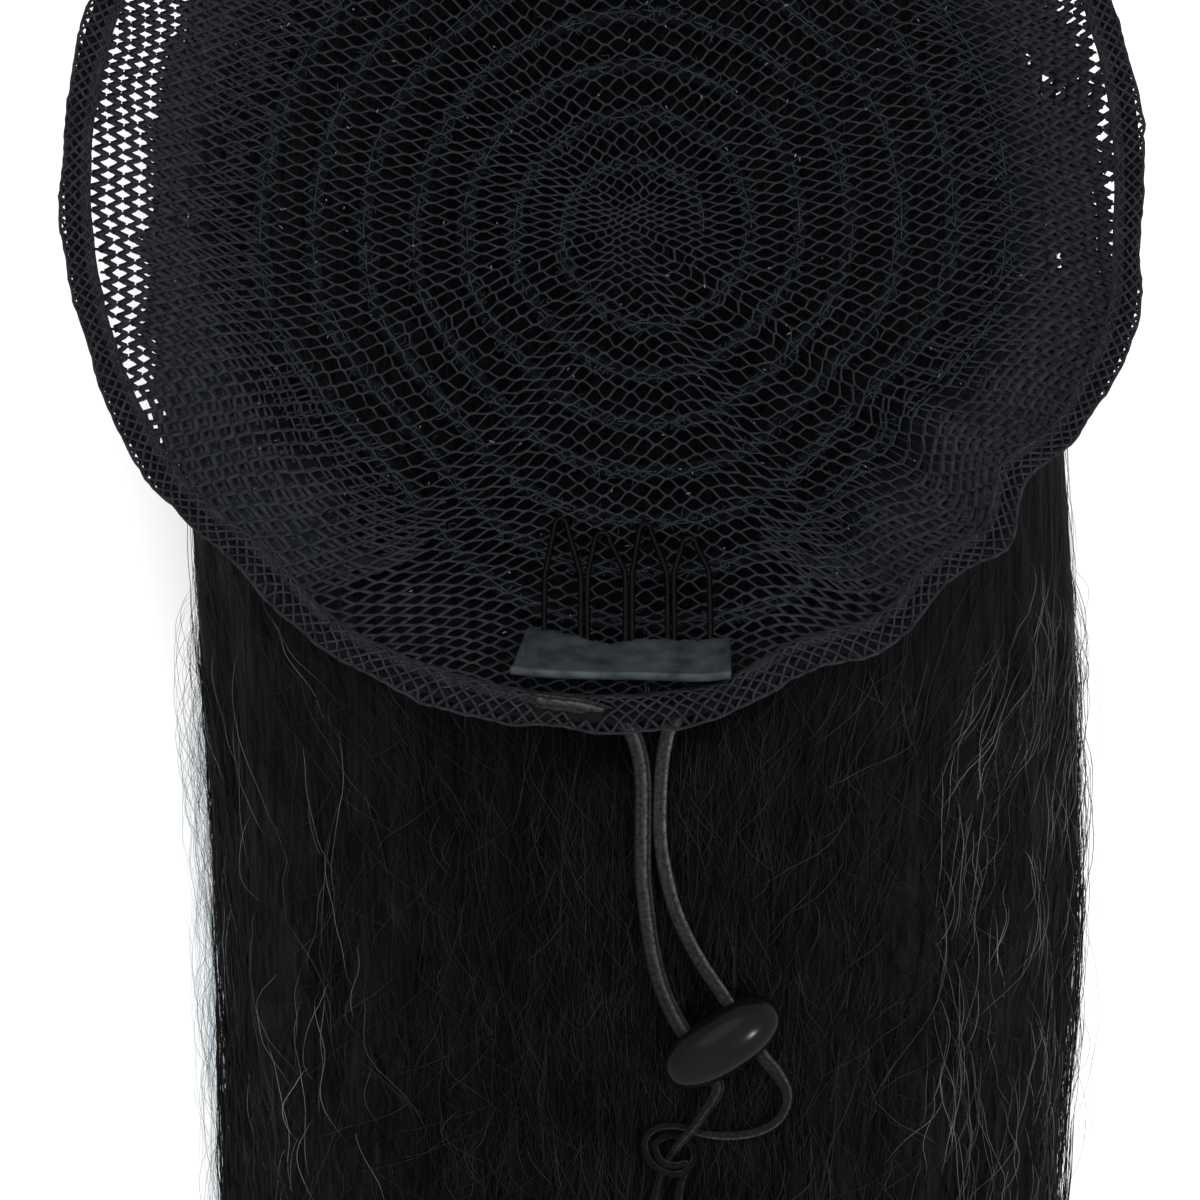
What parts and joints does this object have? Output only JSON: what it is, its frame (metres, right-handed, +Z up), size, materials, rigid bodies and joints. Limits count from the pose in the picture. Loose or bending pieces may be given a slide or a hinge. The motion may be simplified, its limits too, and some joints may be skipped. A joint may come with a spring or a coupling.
{
  "type": "drawstring ponytail hairpiece",
  "caption": "Clip-in ponytail of straight dark hair on a round net cap, with an elastic drawstring, a bean shaped cord stop and a wire comb sewn inside, lying with its opening upwards.",
  "frame": {"origin": "Under the middle of the box of the piece without its free cords, on the surface that the hair lies on", "axes": "+Z up, out of the cap's opening; +Y from the hair's tips towards the cap; +X to the right, seen from above with the cap at the top"},
  "size_m": [0.1472, 0.448, 0.0607],
  "materials": {
    "net_thread": "matt knotted net thread",
    "elastic_cord": "matt ribbed elastic",
    "black_plastic": "glossy moulded",
    "comb_wire": "black lacquered wire",
    "felt_tape": "matt felt",
    "weft_thread": "matt machine sewn weft",
    "hair_fibre": "kinky straight fibre with a low sheen"
  },
  "bodies": {
    "root": {"cap_net": "net_thread", "rim_casing": "net_thread", "drawstring_rim": "elastic_cord", "drawstring_left": "elastic_cord", "drawstring_right": "elastic_cord", "cord_tail_left": "elastic_cord", "cord_tail_right": "elastic_cord", "cord_knot": "elastic_cord", "toggle": "black_plastic", "comb": "comb_wire", "comb_tape": "felt_tape", "weft_track": "weft_thread", "hair": "hair_fibre"}
  },
  "joints": []
}
